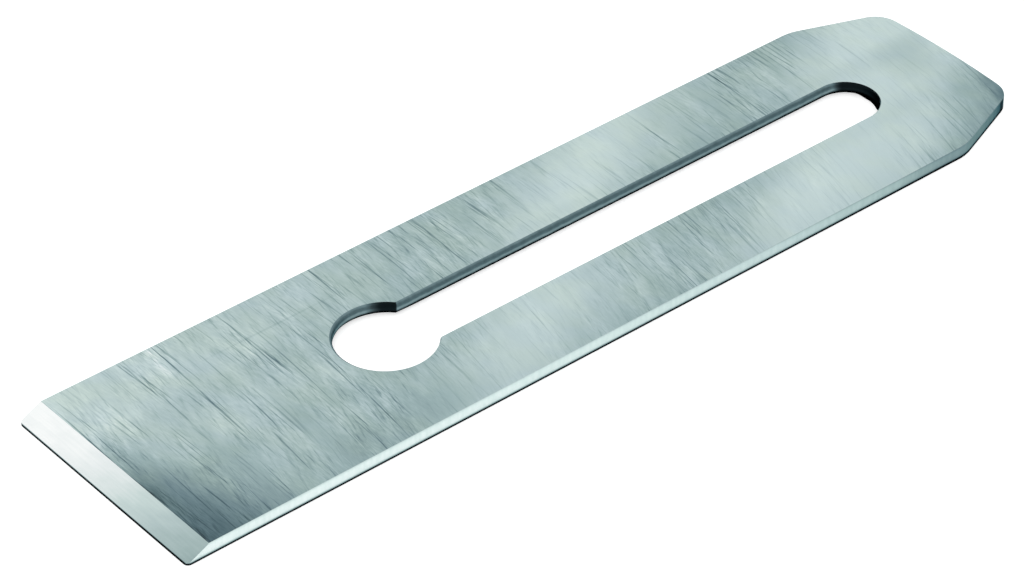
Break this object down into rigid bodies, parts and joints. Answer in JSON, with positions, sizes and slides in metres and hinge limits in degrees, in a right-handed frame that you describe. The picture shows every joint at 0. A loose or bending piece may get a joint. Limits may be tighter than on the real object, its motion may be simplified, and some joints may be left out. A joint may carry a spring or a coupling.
{
  "type": "plane iron",
  "caption": "Flat steel cutting iron for a bench plane: ground bevel along the cutting edge, clipped top corners and a keyhole slot for the cap iron screw.",
  "frame": {"origin": "middle of the flat back, halfway between the long edges and halfway from the cutting edge to the crown of the top end", "axes": "+Y along the blade from the cutting edge to the top end, +Z out of the bevelled side, +X across the width"},
  "size_m": [0.0446, 0.183, 0.0024],
  "materials": {
    "ground_steel": "surface-ground tool steel, grinding marks across the width"
  },
  "bodies": {
    "root": {"plane_iron": "ground_steel"}
  },
  "joints": []
}
